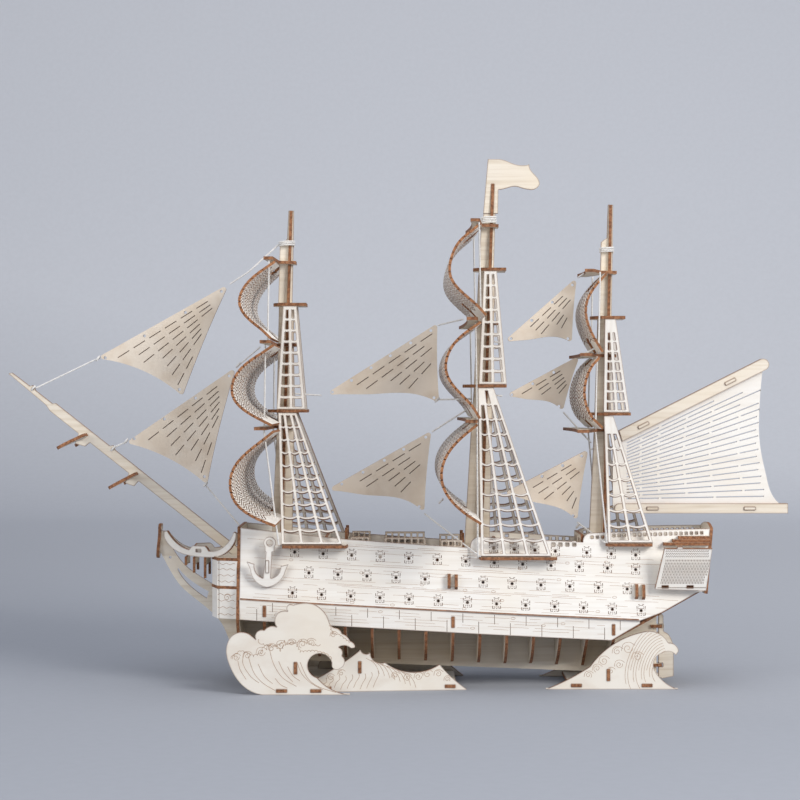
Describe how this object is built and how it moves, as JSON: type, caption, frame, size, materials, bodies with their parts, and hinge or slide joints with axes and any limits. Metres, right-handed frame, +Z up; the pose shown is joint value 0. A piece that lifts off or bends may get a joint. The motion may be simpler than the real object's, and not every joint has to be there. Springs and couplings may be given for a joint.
{
  "type": "wooden jigsaw sailing ship model",
  "caption": "Slot-together plywood puzzle model of a three-masted sailing warship with bent wooden sails and cord rigging, on a wave-shaped stand.",
  "frame": {"origin": "on the table under the middle of the whole model", "axes": "+Z up, bow towards -X, port side towards -Y"},
  "size_m": [0.5214, 0.2, 0.3506],
  "materials": {
    "ply": "unfinished birch plywood, laser-browned edges",
    "side_ply": "pale unfinished birch plywood with engraved lines",
    "stand_ply": "pale unfinished birch plywood with engraved swirls",
    "sail_ply": "thin plywood scored with rows of slits so that it bends",
    "shroud_ply": "unfinished birch plywood, laser-browned edges",
    "cord": "white twisted cord"
  },
  "bodies": {
    "stand": {"stand_aft_waves": "stand_ply", "stand_base_plates": "stand_ply", "stand_cross_plates": "stand_ply", "stand_inner_waves": "stand_ply", "stand_outer_waves": "stand_ply"},
    "ship": {"anchors": "ply", "beakhead_boards": "ply", "boom": "ply", "bow_bulkhead": "ply", "bow_decks": "ply", "bow_panels": "ply", "bowsprit": "ply", "channels": "ply", "counter_board": "ply", "deck_bulkheads": "ply", "fenders": "ply", "fore_course": "sail_ply", "fore_mast": "ply", "fore_mast_cross": "ply", "fore_staysails": "sail_ply", "fore_topgallant_sail": "sail_ply", "fore_topsail": "sail_ply", "fore_yards": "ply", "gaff": "ply", "gallery_boards": "ply", "head_rails": "ply", "hull_frames": "ply", "hull_side_port": "side_ply", "hull_side_starboard": "side_ply", "inner_jib": "sail_ply", "keel": "ply", "lower_bands": "ply", "lower_shrouds": "shroud_ply", "main_course": "sail_ply", "main_deck": "ply", "main_flag": "ply", "main_mast": "ply", "main_mast_cross": "ply", "main_staysails": "sail_ply", "main_topgallant_sail": "sail_ply", "main_topsail": "sail_ply", "main_yards": "ply", "mast_tops": "ply", "mizzen_mast": "ply", "mizzen_mast_cross": "ply", "mizzen_topgallant_sail": "sail_ply", "mizzen_topsail": "sail_ply", "mizzen_yards": "ply", "quarter_galleries": "ply", "raised_decks": "ply", "rigging": "cord", "rudder_gudgeons": "ply", "spanker_pegs": "ply", "spanker_sail": "sail_ply", "sprit_wings": "ply", "transom": "ply", "upper_shrouds": "shroud_ply", "waist_rails": "ply"},
    "rudder": {"rudder": "ply"},
    "outer_jib": {"outer_jib": "sail_ply"}
  },
  "joints": [
    {"name": "ship_lift", "type": "slide", "parent": "stand", "child": "ship", "axis": [0, 0, 1], "range_m": [0, 0.06]},
    {"name": "rudder_hinge", "type": "hinge", "parent": "ship", "child": "rudder", "pos_m": [0.1751, 0, 0.03], "axis": [0, 0, 1], "range_deg": [-25, 25]},
    {"name": "outer_jib_swing", "type": "hinge", "parent": "ship", "child": "outer_jib", "pos_m": [-0.2025, 0, 0.2172], "axis": [0.8721, 0, 0.4894], "range_deg": [-25, 25]}
  ]
}
